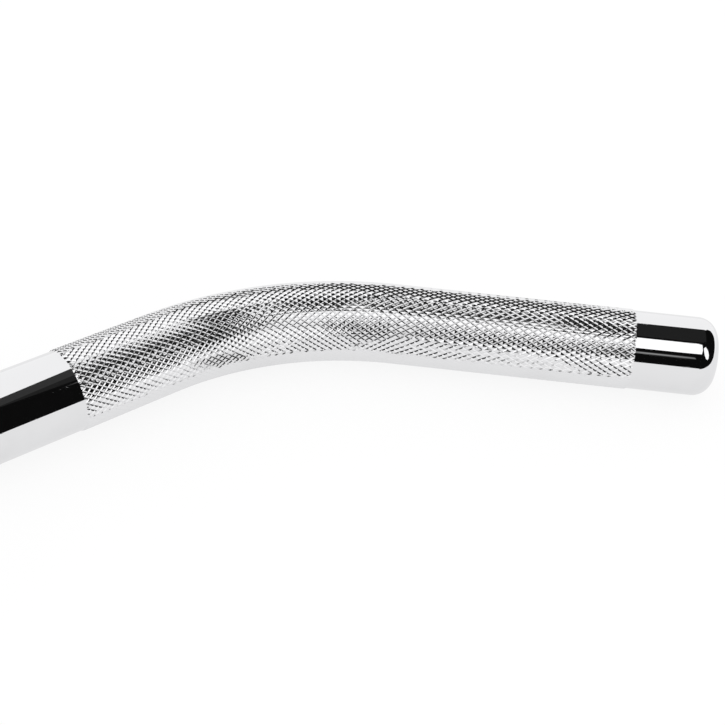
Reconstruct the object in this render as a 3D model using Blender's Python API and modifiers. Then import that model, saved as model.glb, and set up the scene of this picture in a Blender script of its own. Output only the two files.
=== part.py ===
"""Triceps v-bar: a bent and knurled steel bar with a ball-bearing swivel eye.

The bar lies flat, as it does on a bench: its centre line is in a level plane,
the handles run along X and the eye points to -Y. The object stands on Z = 0,
and the origin is the middle of its footprint. Lengths are in metres.
"""

import math

import bmesh
import bpy

# Gap kept between pieces that rest on or turn in one another
GAP = 0.0003

# Bar, measured along its centre line from the tip of a handle
BAR_RADIUS = 0.0127
TIP_FILLET = 0.00635
TIP_LENGTH = 0.027
KNURL_LENGTH = 0.189
KNURL_HEIGHT = 0.00035
KNURL_RUN_OUT = 0.0008
HANDLE_LENGTH = 0.104
BEND_RADIUS = 0.100
ARM_LENGTH = 0.058
APEX_RADIUS = 0.045
ARM_ANGLE = math.radians(45.0)

# Stem of the eye, its bushes, and the nut and pin that hold it
STEM_RADIUS = 0.004
TAIL_RADIUS = 0.0026
TAIL_LENGTH = 0.0062
BUSH_WALL = 0.0012
BUSH_FLANGE_THICKNESS = 0.0014
BUSH_FLANGE_WIDTH = 0.0016
NUT_WALL = 0.0022
NUT_BODY = 0.0064
NUT_CHAMFER = 0.0004
WASHER_INSET = 0.0009
WASHER_THICKNESS = 0.0016
PIN_WIRE_RADIUS = 0.0005
PIN_LOOP_SPREAD = 0.0002
PIN_LEG_TURN = 0.0030

# Thrust bearing
RACE_THICKNESS = 0.0020
GROOVE_DEPTH = 0.00035
BALL_RADIUS = 0.0015875
BALL_COUNT = 8
CAGE_RIM = 0.0005625
CAGE_THICKNESS = 0.0014

# Swivel housing, a barrel welded to the point of the V
HOUSING_WALL = 0.0027
HOUSING_WEB = 0.0045
HOUSING_CHAMFER = 0.0006
WELD_RADIUS = 0.0028
GRUB_RADIUS = 0.0018
GRUB_SOCKET_RADIUS = 0.0009
GRUB_SOCKET_DEPTH = 0.0012
GRUB_CHAMFER = 0.0003

# Gland cap
THREAD_LENGTH = 0.0100
FLANGE_THICKNESS = 0.0060
FLANGE_CHAMFER = 0.0010
SPANNER_SLOT_WIDTH = 0.0032
SPANNER_SLOT_DEPTH = 0.0016
SPANNER_SLOTS = 4

# Eye
COLLAR_RADIUS = 0.0092
COLLAR_THICKNESS = 0.0030
COLLAR_CHAMFER = 0.0006
NECK_WIDTH = 0.0130
NECK_LENGTH = 0.0012
NECK_FILLET = 0.0070
EYE_RADIUS = 0.0190
EYE_HOLE_RADIUS = 0.0110
EYE_THICKNESS = 0.0110
EYE_EDGE = 0.0018

# Facets of the round shapes
BAR_SIDES = 40
TIP_STEPS = 6
BEND_STEPS = 12
APEX_STEPS = 8
ROUND_SIDES = 32
BORE_SIDES = 24
SMALL_SIDES = 16
BALL_SIDES = 12
BALL_RINGS = 8
BEAD_SIDES = 10
WIRE_SIDES = 8
EYE_STEPS = 36
EDGE_STEPS = 3
FILLET_STEPS = 5
GROOVE_STEPS = 6
LOOP_STEPS = 12
CORNER_STEPS = 4

# Points nearer than this are one point, and sections of the bar nearer than the next are one section
MERGE_DISTANCE = 0.000002
LEAST_STATION_STEP = 0.0001

# Sizes that follow from the ones above
KNURL_RADIUS = BAR_RADIUS + KNURL_HEIGHT
KNURL_END = TIP_LENGTH + KNURL_LENGTH
BEND_LENGTH = BEND_RADIUS * ARM_ANGLE
APEX_LENGTH = APEX_RADIUS * ARM_ANGLE
HALF_LENGTH = HANDLE_LENGTH + BEND_LENGTH + ARM_LENGTH + APEX_LENGTH
STEM_BORE = STEM_RADIUS + GAP
TAIL_BUSH_RADIUS = TAIL_RADIUS + GAP + BUSH_WALL
STEM_BUSH_RADIUS = STEM_BORE + BUSH_WALL
BUSH_FLANGE_RADIUS = STEM_BUSH_RADIUS + BUSH_FLANGE_WIDTH
POCKET_RADIUS = BUSH_FLANGE_RADIUS + GAP
SEAL_WIRE_RADIUS = (POCKET_RADIUS - GAP - STEM_BORE) / 2
POCKET_DEPTH = BUSH_FLANGE_THICKNESS + 2 * SEAL_WIRE_RADIUS + 2 * GAP
PIN_LEG_OFFSET = PIN_WIRE_RADIUS + GAP / 2
PIN_HOLE_RADIUS = PIN_LEG_OFFSET + PIN_WIRE_RADIUS + GAP
PIN_LOOP_RADIUS = PIN_LEG_OFFSET + PIN_LOOP_SPREAD
NUT_SLOT_DEPTH = 2 * PIN_HOLE_RADIUS
NUT_FLATS = 2 * (STEM_BORE + NUT_WALL)
PIN_LEG_PLACE = NUT_FLATS / 2 + GAP + PIN_WIRE_RADIUS
PIN_REACH = PIN_LEG_PLACE + 2 * PIN_LOOP_RADIUS + PIN_WIRE_RADIUS
GROOVE_RADIUS = BALL_RADIUS + GAP
RACE_GAP = 2 * (GROOVE_RADIUS - GROOVE_DEPTH)
BALL_PITCH_RADIUS = STEM_BORE + CAGE_RIM + GAP + BALL_RADIUS
CAGE_RADIUS = BALL_PITCH_RADIUS + BALL_RADIUS + GAP + CAGE_RIM
CHAMBER_RADIUS = max(CAGE_RADIUS + 2 * GAP, PIN_REACH + GAP)
RACE_RADIUS = CHAMBER_RADIUS - GAP
WASHER_RADIUS = RACE_RADIUS - GAP - WASHER_INSET
HOUSING_RADIUS = CHAMBER_RADIUS + HOUSING_WALL

# Stations along the swivel's axis, counted outwards from the bar's centre line
TAIL_SEAT = BAR_RADIUS + GAP + HOUSING_WEB
CHAMBER_FLOOR = TAIL_SEAT + TAIL_LENGTH
THREAD_START = CHAMBER_FLOOR + GAP
NUT_START = THREAD_START + GAP
PIN_STATION = NUT_START + NUT_SLOT_DEPTH / 2
WASHER_START = NUT_START + NUT_SLOT_DEPTH + NUT_BODY + GAP
TURNING_START = WASHER_START + WASHER_THICKNESS + GAP
BALL_STATION = TURNING_START + RACE_THICKNESS + RACE_GAP / 2
FIXED_START = BALL_STATION + RACE_GAP / 2
GLAND_START = FIXED_START + RACE_THICKNESS + GAP
MOUTH = GLAND_START + THREAD_LENGTH
GLAND_FACE = MOUTH + GAP + FLANGE_THICKNESS
POCKET_FLOOR = GLAND_FACE - POCKET_DEPTH
GRUB_STATION = GLAND_START + THREAD_LENGTH / 2
COLLAR_START = GLAND_FACE + GAP
NECK_START = COLLAR_START + COLLAR_THICKNESS
FILLET_REACH = math.sqrt((EYE_RADIUS + NECK_FILLET) ** 2 - (NECK_WIDTH / 2 + NECK_FILLET) ** 2)
EYE_CENTRE = NECK_START + NECK_LENGTH + FILLET_REACH
EYE_END = EYE_CENTRE + EYE_RADIUS


def centre_line(distance):
    """Point of the right half's centre line at a distance from its tip, with the apex at (0, 0)."""
    from_apex = HALF_LENGTH - distance
    turn = min(from_apex, APEX_LENGTH) / APEX_RADIUS
    x = APEX_RADIUS * math.sin(turn)
    y = APEX_RADIUS * (1 - math.cos(turn))
    along_arm = min(max(from_apex - APEX_LENGTH, 0.0), ARM_LENGTH)
    x += along_arm * math.cos(ARM_ANGLE)
    y += along_arm * math.sin(ARM_ANGLE)
    along_bend = min(max(from_apex - APEX_LENGTH - ARM_LENGTH, 0.0), BEND_LENGTH)
    heading = ARM_ANGLE - along_bend / BEND_RADIUS
    x += BEND_RADIUS * (math.sin(ARM_ANGLE) - math.sin(heading))
    y += BEND_RADIUS * (math.cos(heading) - math.cos(ARM_ANGLE))
    along_handle = max(HANDLE_LENGTH - distance, 0.0)
    return x + along_handle, y


# The origin is midway between the end of the eye and the far side of the handles
APEX_Y = (EYE_END - centre_line(0.0)[1] - KNURL_RADIUS) / 2
AXIS_HEIGHT = max(KNURL_RADIUS, HOUSING_RADIUS)


def clear_objects():
    for old in list(bpy.data.objects):
        bpy.data.objects.remove(old, do_unlink=True)


def new_collection(name):
    group = bpy.data.collections.new(name)
    bpy.context.scene.collection.children.link(group)
    return group


def make_material(name, colour, metallic, roughness):
    material = bpy.data.materials.new(name)
    material.use_nodes = True
    shader = material.node_tree.nodes["Principled BSDF"]
    shader.inputs["Base Color"].default_value = (*colour, 1.0)
    shader.inputs["Metallic"].default_value = metallic
    shader.inputs["Roughness"].default_value = roughness
    return material


def add_object(name, data, group, parent=None):
    piece = bpy.data.objects.new(name, data)
    group.objects.link(piece)
    piece.parent = parent
    return piece


def as_cutter(piece):
    piece.hide_render = True
    piece.display_type = "WIRE"
    return piece


def boolean(piece, other, operation):
    modifier = piece.modifiers.new(operation.title(), "BOOLEAN")
    modifier.operation = operation
    modifier.solver = "EXACT"
    modifier.object = other


def evaluated_mesh(piece, name):
    bpy.context.view_layer.update()
    graph = bpy.context.evaluated_depsgraph_get()
    mesh = bpy.data.meshes.new_from_object(piece.evaluated_get(graph))
    mesh.name = name
    return mesh


def finish(piece, material, sharp_angle=math.radians(35)):
    """Apply the modifiers, give the material and shade the round faces smooth."""
    mesh = evaluated_mesh(piece, piece.name)
    piece.modifiers.clear()
    piece.data = mesh
    mesh.materials.clear()
    mesh.materials.append(material)
    mesh.shade_smooth()
    mesh.set_sharp_from_angle(angle=sharp_angle)
    return piece


def turned(name, profile, group, parent, sides=ROUND_SIDES, closed=True):
    """Turn a profile of (radius, height) points about the parent's Z axis.

    The points run down the outer side and up the inner side. The profile of a
    piece without a bore starts and ends on the axis, and isn't closed.
    """
    edges = [(index, index + 1) for index in range(len(profile) - 1)]
    if closed:
        edges.append((len(profile) - 1, 0))
    mesh = bpy.data.meshes.new(name)
    mesh.from_pydata([(radius, 0.0, height) for radius, height in profile], edges, [])
    piece = add_object(name, mesh, group, parent)
    screw = piece.modifiers.new("Turn", "SCREW")
    screw.steps = sides
    screw.render_steps = sides
    screw.use_merge_vertices = True
    screw.merge_threshold = MERGE_DISTANCE
    return piece


def curve_to_mesh(guide, name, group, parent):
    """Weld a curve's evaluated shape into a mesh object and remove the curve."""
    mesh = evaluated_mesh(guide, name)
    work = bmesh.new()
    work.from_mesh(mesh)
    bmesh.ops.remove_doubles(work, verts=work.verts, dist=MERGE_DISTANCE)
    work.to_mesh(mesh)
    work.free()
    mesh.materials.clear()
    place = guide.matrix_world.copy()
    bpy.data.objects.remove(guide, do_unlink=True)
    piece = add_object(name, mesh, group, parent)
    piece.matrix_local = place
    return piece


def prism(name, outlines, thickness, group, parent=None, edge=0.0):
    """Plate of even thickness about Z = 0 on closed outlines, where inner ones are holes.

    A rounded edge grows outwards from an outline by its radius, and into a hole.
    """
    curve = bpy.data.curves.new(name, "CURVE")
    curve.dimensions = "2D"
    curve.fill_mode = "BOTH"
    curve.extrude = thickness / 2 - edge
    curve.bevel_depth = edge
    curve.bevel_resolution = EDGE_STEPS - 1
    for outline in outlines:
        spline = curve.splines.new("POLY")
        spline.points.add(len(outline) - 1)
        for point, (x, y) in zip(spline.points, outline):
            point.co = (x, y, 0.0, 1.0)
        spline.use_cyclic_u = True
    return curve_to_mesh(add_object(name + "_outline", curve, group), name, group, parent)


def tube(name, points, radii, sides, group, parent=None, closed=False):
    """Round bar or wire through points, with a radius at each and filled ends."""
    curve = bpy.data.curves.new(name, "CURVE")
    curve.dimensions = "3D"
    curve.twist_mode = "Z_UP"
    curve.bevel_depth = 1.0
    curve.bevel_resolution = (sides - 4) // 2
    curve.use_fill_caps = not closed
    spline = curve.splines.new("POLY")
    spline.points.add(len(points) - 1)
    for point, place, radius in zip(spline.points, points, radii):
        point.co = (*place, 1.0)
        point.radius = radius
    spline.use_cyclic_u = closed
    return curve_to_mesh(add_object(name + "_path", curve, group), name, group, parent)


def box_cutter(name, size, centre, turn, group, parent):
    """Box of a full size along X, Y and Z, turned about the parent's Z axis."""
    mesh = bpy.data.meshes.new(name)
    work = bmesh.new()
    bmesh.ops.create_cube(work, size=1.0)
    bmesh.ops.scale(work, vec=size, verts=work.verts)
    bmesh.ops.translate(work, vec=centre, verts=work.verts)
    work.to_mesh(mesh)
    work.free()
    cutter = as_cutter(add_object(name, mesh, group, parent))
    cutter.rotation_euler.z = turn
    return cutter


def cross_drill(name, radius, start, end, station, sides, group, parent):
    """Cylinder along the parent's X axis from start to end, at a station on its Z axis."""
    mesh = bpy.data.meshes.new(name)
    work = bmesh.new()
    bmesh.ops.create_cone(work, cap_ends=True, segments=sides, radius1=radius, radius2=radius,
                          depth=end - start)
    work.to_mesh(mesh)
    work.free()
    cutter = as_cutter(add_object(name, mesh, group, parent))
    cutter.rotation_euler.y = math.pi / 2
    cutter.location = ((start + end) / 2, 0.0, station)
    return cutter


def circle(radius, sides, centre=(0.0, 0.0)):
    turns = [2 * math.pi * index / sides for index in range(sides)]
    return [(centre[0] + radius * math.cos(turn), centre[1] + radius * math.sin(turn)) for turn in turns]


def arc(centre, radius, first, last, steps):
    """Points of an arc between two angles, both ends included."""
    angles = [first + (last - first) * index / steps for index in range(steps + 1)]
    return [(centre[0] + radius * math.cos(angle), centre[1] + radius * math.sin(angle)) for angle in angles]


def bar_radius(distance):
    """Radius of the bar at a distance from the tip: rounded end, smooth steel or knurl crests."""
    if distance < TIP_FILLET:
        return BAR_RADIUS - TIP_FILLET + math.sqrt(TIP_FILLET ** 2 - (TIP_FILLET - distance) ** 2)
    inside = min(distance - TIP_LENGTH, KNURL_END - distance) / KNURL_RUN_OUT
    return BAR_RADIUS + KNURL_HEIGHT * min(max(inside, 0.0), 1.0)


def bar_stations():
    """Distances from the tip at which the bar has a section, out to the apex."""
    stations = [TIP_FILLET * (1 - math.cos(math.pi / 2 * step / TIP_STEPS)) for step in range(TIP_STEPS + 1)]
    stations += [TIP_LENGTH, TIP_LENGTH + KNURL_RUN_OUT, KNURL_END - KNURL_RUN_OUT, KNURL_END]
    stations += [HANDLE_LENGTH + BEND_LENGTH * step / BEND_STEPS for step in range(BEND_STEPS + 1)]
    stations += [HALF_LENGTH - APEX_LENGTH * step / APEX_STEPS for step in range(APEX_STEPS + 1)]
    apart = []
    for station in sorted(stations):
        if not apart or station - apart[-1] > LEAST_STATION_STEP:
            apart.append(station)
    return apart


def bar_path(stations):
    """Centre line points through both halves, from the left end to the right end."""
    right = [(*centre_line(station), 0.0) for station in stations]
    left = [(-x, y, z) for x, y, z in right[:-1]]
    return left + right[::-1]


def make_bar(group, steel):
    stations = bar_stations()
    radii = [bar_radius(station) for station in stations]
    bar = tube("bar", bar_path(stations), radii[:-1] + radii[::-1], BAR_SIDES, group)
    bar.location = (0.0, APEX_Y, AXIS_HEIGHT)
    return finish(bar, steel)


def bar_room(group):
    """Cutter for the saddle: the bar near the apex, larger all round by the gap."""
    near = [station for station in bar_stations() if station > KNURL_END]
    radius = BAR_RADIUS + GAP
    count = 2 * len(near) - 1
    cutter = tube("saddle_cutter", bar_path(near), [radius] * count, BAR_SIDES, group)
    cutter.location = (0.0, APEX_Y, AXIS_HEIGHT)
    return as_cutter(cutter)


def weld_line(sides):
    """Closed line where the barrel meets the bent bar, drawn in over the top and underside."""
    points = []
    for x, share in circle(1.0, sides):
        across = HOUSING_RADIUS * x
        height = (HOUSING_RADIUS - WELD_RADIUS - GAP) * share
        reach = math.sqrt(max(BAR_RADIUS ** 2 - height ** 2, 0.0))
        station = math.sqrt((APEX_RADIUS + reach) ** 2 - across ** 2) - APEX_RADIUS
        points.append((across, height, station))
    return points


def make_housing(group, cutters, axis, steel):
    """Blind barrel with a saddle for the bar, a weld bead and a hole for the grub screw."""
    seat = TAIL_BUSH_RADIUS + GAP
    profile = [(0.0, TAIL_SEAT), (seat, TAIL_SEAT), (seat, CHAMBER_FLOOR), (CHAMBER_RADIUS, CHAMBER_FLOOR),
               (CHAMBER_RADIUS, MOUTH), (HOUSING_RADIUS - HOUSING_CHAMFER, MOUTH),
               (HOUSING_RADIUS, MOUTH - HOUSING_CHAMFER), (HOUSING_RADIUS, 0.0), (0.0, 0.0)]
    housing = turned("swivel_housing", profile, group, axis, closed=False)
    line = weld_line(ROUND_SIDES)
    bead = tube("weld_bead", line, [WELD_RADIUS] * len(line), BEAD_SIDES, cutters, axis, closed=True)
    boolean(housing, as_cutter(bead), "UNION")
    boolean(housing, bar_room(cutters), "DIFFERENCE")
    drill = cross_drill("grub_hole", GRUB_RADIUS + GAP, CHAMBER_RADIUS / 2, 2 * HOUSING_RADIUS, GRUB_STATION,
                        SMALL_SIDES, cutters, axis)
    boolean(housing, drill, "DIFFERENCE")
    return finish(housing, steel)


def make_grub_screw(group, cutters, axis, steel):
    """Headless screw in the housing wall, with a hexagon socket that opens outwards."""
    inner = CHAMBER_RADIUS
    outer = HOUSING_RADIUS - GAP
    length = outer - inner
    rim = GRUB_RADIUS - GRUB_CHAMFER
    profile = [(0.0, length), (rim, length), (GRUB_RADIUS, length - GRUB_CHAMFER),
               (GRUB_RADIUS, GRUB_CHAMFER), (rim, 0.0), (0.0, 0.0)]
    screw = turned("grub_screw", profile, group, axis, sides=SMALL_SIDES, closed=False)
    screw.rotation_euler.y = math.pi / 2
    screw.location = (inner, 0.0, GRUB_STATION)
    socket = cross_drill("grub_socket", GRUB_SOCKET_RADIUS, outer - GRUB_SOCKET_DEPTH, 2 * HOUSING_RADIUS,
                         GRUB_STATION, 6, cutters, axis)
    boolean(screw, socket, "DIFFERENCE")
    return finish(screw, steel)


def make_gland_cap(group, cutters, axis, steel):
    """Screwed cap that holds the bearing in, with a pocket for the bush flange and the seal."""
    bore = STEM_BUSH_RADIUS + GAP
    spigot = CHAMBER_RADIUS - GAP
    profile = [(HOUSING_RADIUS - FLANGE_CHAMFER, GLAND_FACE), (HOUSING_RADIUS, GLAND_FACE - FLANGE_CHAMFER),
               (HOUSING_RADIUS, MOUTH + GAP), (spigot, MOUTH + GAP), (spigot, GLAND_START),
               (bore, GLAND_START), (bore, POCKET_FLOOR), (POCKET_RADIUS, POCKET_FLOOR),
               (POCKET_RADIUS, GLAND_FACE)]
    cap = turned("gland_cap", profile, group, axis)
    size = (2 * SPANNER_SLOT_DEPTH, SPANNER_SLOT_WIDTH, 2 * FLANGE_THICKNESS)
    centre = (HOUSING_RADIUS, 0.0, MOUTH + FLANGE_THICKNESS)
    for index in range(SPANNER_SLOTS):
        turn = 2 * math.pi * (index + 0.5) / SPANNER_SLOTS
        cutter = box_cutter(f"spanner_slot_{index + 1}", size, centre, turn, cutters, axis)
        boolean(cap, cutter, "DIFFERENCE")
    return finish(cap, steel)


def make_bushes(group, axis, bronze):
    body = POCKET_FLOOR + GAP
    top = body + BUSH_FLANGE_THICKNESS
    start = GLAND_START + GAP
    profile = [(BUSH_FLANGE_RADIUS, top), (BUSH_FLANGE_RADIUS, body), (STEM_BUSH_RADIUS, body),
               (STEM_BUSH_RADIUS, start), (STEM_BORE, start), (STEM_BORE, top)]
    finish(turned("stem_bush", profile, group, axis), bronze)
    bottom = TAIL_SEAT + GAP
    profile = [(TAIL_BUSH_RADIUS, CHAMBER_FLOOR), (TAIL_BUSH_RADIUS, bottom),
               (TAIL_RADIUS + GAP, bottom), (TAIL_RADIUS + GAP, CHAMBER_FLOOR)]
    finish(turned("tail_bush", profile, group, axis, sides=BORE_SIDES), bronze)


def make_seal(group, axis, rubber):
    """Rubber ring round the stem, between the bush flange and the eye's collar."""
    centre = (STEM_BORE + SEAL_WIRE_RADIUS, GLAND_FACE - SEAL_WIRE_RADIUS)
    section = arc(centre, SEAL_WIRE_RADIUS, math.pi / 2, -math.pi * 3 / 2, BALL_SIDES)
    finish(turned("dust_seal", section[:-1], group, axis), rubber)


def groove(height, side):
    """Ball groove across a race face, from the outer edge in, dipping away from the balls."""
    centre = (BALL_PITCH_RADIUS, BALL_STATION)
    half_angle = math.acos((RACE_GAP / 2) / GROOVE_RADIUS)
    middle = side * math.pi / 2
    points = arc(centre, GROOVE_RADIUS, middle - side * half_angle, middle + side * half_angle, GROOVE_STEPS)
    return [(points[0][0], height)] + points[1:-1] + [(points[-1][0], height)]


def make_races(group, axis, turning_axis, steel):
    """Two race washers, each with a groove that the balls run in."""
    top = FIXED_START + RACE_THICKNESS
    bore = STEM_BORE + GAP
    profile = [(RACE_RADIUS, top), (RACE_RADIUS, FIXED_START)] + groove(FIXED_START, 1)
    profile += [(bore, FIXED_START), (bore, top)]
    finish(turned("fixed_race", profile, group, axis), steel)
    top = TURNING_START + RACE_THICKNESS
    rim = RACE_RADIUS - GAP
    profile = [(rim, top), (rim, TURNING_START), (STEM_BORE, TURNING_START), (STEM_BORE, top)]
    profile += groove(top, -1)[::-1]
    finish(turned("turning_race", profile, group, turning_axis), steel)


def make_cage(group, cage_axis, brass):
    outlines = [circle(CAGE_RADIUS, ROUND_SIDES), circle(STEM_BORE, BORE_SIDES)]
    for index in range(BALL_COUNT):
        turn = 2 * math.pi * index / BALL_COUNT
        place = (BALL_PITCH_RADIUS * math.cos(turn), BALL_PITCH_RADIUS * math.sin(turn))
        outlines.append(circle(BALL_RADIUS + GAP, SMALL_SIDES, place))
    cage = prism("ball_cage", outlines, CAGE_THICKNESS, group, cage_axis)
    return finish(cage, brass)


def make_balls(group, cage_axis, steel):
    mesh = bpy.data.meshes.new("ball")
    work = bmesh.new()
    bmesh.ops.create_uvsphere(work, u_segments=BALL_SIDES, v_segments=BALL_RINGS, radius=BALL_RADIUS)
    work.to_mesh(mesh)
    work.free()
    mesh.materials.append(steel)
    mesh.shade_smooth()
    for index in range(BALL_COUNT):
        turn = 2 * math.pi * index / BALL_COUNT
        ball = add_object(f"ball_{index + 1}", mesh, group, cage_axis)
        ball.location = (BALL_PITCH_RADIUS * math.cos(turn), BALL_PITCH_RADIUS * math.sin(turn), 0.0)


def make_washer(group, turning_axis, steel):
    top = WASHER_START + WASHER_THICKNESS
    profile = [(WASHER_RADIUS, top), (WASHER_RADIUS, WASHER_START), (STEM_BORE, WASHER_START),
               (STEM_BORE, top)]
    return finish(turned("nut_washer", profile, group, turning_axis), steel)


def make_castle_nut(group, cutters, turning_axis, steel):
    """Hexagon nut with chamfered corners and six slots that face the tail."""
    height = NUT_SLOT_DEPTH + NUT_BODY
    corner = NUT_FLATS / math.sqrt(3.0)
    hexagon = [(corner * math.cos(turn), corner * math.sin(turn))
               for turn in (math.pi * (2 * index + 1) / 6 for index in range(6))]
    nut = prism("castle_nut", [hexagon, circle(STEM_BORE, BORE_SIDES)], height, group, turning_axis)
    nut.location.z = NUT_START + height / 2
    top = NUT_START + height
    face = NUT_FLATS / 2 - NUT_CHAMFER
    outline = [(0.0, top), (face, top), (corner, top - 2 * NUT_CHAMFER),
               (corner, NUT_START + 2 * NUT_CHAMFER), (face, NUT_START), (0.0, NUT_START)]
    rounding = as_cutter(turned("nut_rounding", outline, cutters, turning_axis, closed=False))
    boolean(nut, rounding, "INTERSECT")
    size = (3 * corner, 2 * PIN_HOLE_RADIUS, 2 * NUT_SLOT_DEPTH)
    for index in range(3):
        cutter = box_cutter(f"nut_slot_{index + 1}", size, (0.0, 0.0, NUT_START), index * math.pi / 3,
                            cutters, turning_axis)
        boolean(nut, cutter, "DIFFERENCE")
    return finish(nut, steel)


def make_split_pin(group, turning_axis, steel):
    """Doubled wire with a looped head and two legs bent apart along the nut's flat."""
    head = (PIN_LEG_PLACE + PIN_LOOP_RADIUS, 0.0)
    start = math.pi - math.asin(PIN_LEG_OFFSET / PIN_LOOP_RADIUS)
    bend = 2 * PIN_WIRE_RADIUS
    corner = arc((bend - PIN_LEG_PLACE, PIN_LEG_OFFSET + bend), bend, math.pi, math.pi * 3 / 2, CORNER_STEPS)
    upper = [(-PIN_LEG_PLACE, PIN_LEG_OFFSET + PIN_LEG_TURN)] + corner
    loop = arc(head, PIN_LOOP_RADIUS, start, -start, LOOP_STEPS)
    outline = upper + loop + [(x, -y) for x, y in upper[::-1]]
    points = [(x, y, PIN_STATION) for x, y in outline]
    pin = tube("split_pin", points, [PIN_WIRE_RADIUS] * len(points), WIRE_SIDES, group, turning_axis)
    return finish(pin, steel)


def eye_outline():
    """Side of the eye within its rounded edges: a ring that runs through fillets into its neck."""
    half = NECK_WIDTH / 2
    foot = NECK_START - COLLAR_THICKNESS / 2
    fillet = (half + NECK_FILLET, EYE_CENTRE - FILLET_REACH)
    touch = math.atan2(-FILLET_REACH, half + NECK_FILLET)
    ring = arc((0.0, EYE_CENTRE), EYE_RADIUS - EYE_EDGE, touch, math.pi - touch, EYE_STEPS)
    right = arc(fillet, NECK_FILLET + EYE_EDGE, math.pi, math.pi + touch, FILLET_STEPS)
    left = [(-x, y) for x, y in right[::-1]]
    return [(EYE_EDGE - half, foot), (half - EYE_EDGE, foot)] + right + ring[1:-1] + left


def make_eye(group, cutters, turning_axis, steel):
    """Forged eye with a turned collar, a threaded stem with a pin hole, and a tail pilot."""
    hole = circle(EYE_HOLE_RADIUS + EYE_EDGE, ROUND_SIDES, (0.0, EYE_CENTRE))
    eye = prism("swivel_eye", [eye_outline(), hole], EYE_THICKNESS, group, turning_axis, EYE_EDGE)
    eye.rotation_euler.x = math.pi / 2
    collar_edge = COLLAR_RADIUS - COLLAR_CHAMFER
    tail = TAIL_SEAT + 2 * GAP
    profile = [(0.0, NECK_START), (collar_edge, NECK_START), (COLLAR_RADIUS, NECK_START - COLLAR_CHAMFER),
               (COLLAR_RADIUS, COLLAR_START + COLLAR_CHAMFER), (collar_edge, COLLAR_START),
               (STEM_RADIUS, COLLAR_START), (STEM_RADIUS, THREAD_START), (TAIL_RADIUS, THREAD_START),
               (TAIL_RADIUS, tail), (0.0, tail)]
    stem = as_cutter(turned("stem", profile, cutters, turning_axis, closed=False))
    boolean(eye, stem, "UNION")
    drill = cross_drill("pin_hole", PIN_HOLE_RADIUS, -2 * STEM_RADIUS, 2 * STEM_RADIUS, PIN_STATION,
                        SMALL_SIDES, cutters, turning_axis)
    boolean(eye, drill, "DIFFERENCE")
    return finish(eye, steel)


def make_axis(name, parent=None, station=0.0):
    """Empty whose Z axis points out of the V, on the line that the eye turns about."""
    axis = add_object(name, None, bpy.context.scene.collection, parent)
    if parent is None:
        axis.location = (0.0, APEX_Y, AXIS_HEIGHT)
        axis.rotation_euler.x = math.pi / 2
    axis.location.z += station
    return axis


def main():
    clear_objects()
    pieces = new_collection("triceps_v_bar")
    cutters = new_collection("cutters")
    chrome = make_material("chrome", (0.80, 0.80, 0.81), 1.0, 0.06)
    dark_steel = make_material("dark_steel", (0.28, 0.28, 0.29), 1.0, 0.35)
    bearing_steel = make_material("bearing_steel", (0.62, 0.62, 0.64), 1.0, 0.15)
    zinc = make_material("zinc", (0.66, 0.67, 0.70), 1.0, 0.30)
    bronze = make_material("bronze", (0.60, 0.38, 0.18), 1.0, 0.32)
    brass = make_material("brass", (0.74, 0.56, 0.24), 1.0, 0.28)
    rubber = make_material("rubber", (0.02, 0.02, 0.02), 0.0, 0.6)

    fixed_axis = make_axis("fixed_axis")
    turning_axis = make_axis("turning_axis", fixed_axis)
    cage_axis = make_axis("cage_axis", fixed_axis, BALL_STATION)

    make_bar(pieces, chrome)
    make_housing(pieces, cutters, fixed_axis, chrome)
    make_gland_cap(pieces, cutters, fixed_axis, chrome)
    make_grub_screw(pieces, cutters, fixed_axis, dark_steel)
    make_bushes(pieces, fixed_axis, bronze)
    make_seal(pieces, fixed_axis, rubber)
    make_races(pieces, fixed_axis, turning_axis, bearing_steel)
    make_cage(pieces, cage_axis, brass)
    make_balls(pieces, cage_axis, bearing_steel)
    make_washer(pieces, turning_axis, zinc)
    make_castle_nut(pieces, cutters, turning_axis, zinc)
    make_split_pin(pieces, turning_axis, zinc)
    make_eye(pieces, cutters, turning_axis, chrome)


if __name__ == "__main__":
    main()
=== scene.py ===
"""Bent triceps bar with a ball-bearing swivel eye, dressed over its packed CAD frame.

The file is laid out as a Blender add-on and is run as a script. Every new piece is a surface
worked out with numpy, in metres, in the frame of the CAD part: +X along the handles, +Z up,
-Y from the point of the V out through the eye.
"""
import math

import bpy
import numpy as np
from bpy.props import FloatProperty, FloatVectorProperty, IntProperty, PointerProperty
from mathutils import Matrix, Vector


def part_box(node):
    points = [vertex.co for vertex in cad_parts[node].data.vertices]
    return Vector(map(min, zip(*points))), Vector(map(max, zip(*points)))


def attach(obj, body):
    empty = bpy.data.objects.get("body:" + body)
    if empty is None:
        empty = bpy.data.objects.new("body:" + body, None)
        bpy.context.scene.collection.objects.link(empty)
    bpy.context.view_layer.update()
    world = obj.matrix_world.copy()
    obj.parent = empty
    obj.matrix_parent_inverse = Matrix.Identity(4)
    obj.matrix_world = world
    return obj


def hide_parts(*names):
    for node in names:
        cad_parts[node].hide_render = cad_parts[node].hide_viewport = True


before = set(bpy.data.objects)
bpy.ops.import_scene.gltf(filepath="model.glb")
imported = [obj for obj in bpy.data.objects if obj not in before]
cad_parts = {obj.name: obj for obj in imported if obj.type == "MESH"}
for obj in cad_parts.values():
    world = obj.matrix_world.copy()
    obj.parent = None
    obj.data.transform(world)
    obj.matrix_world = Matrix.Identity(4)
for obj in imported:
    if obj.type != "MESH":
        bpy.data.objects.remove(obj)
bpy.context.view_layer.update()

bl_info = {
    "name": "Triceps V-Bar",
    "version": (1, 0, 0),
    "blender": (4, 5, 0),
    "location": "3D View > Sidebar > V-Bar",
    "description": "Builds a knurled chrome v-bar with a swivel eye, and its studio",
    "category": "Add Mesh",
}

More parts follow.
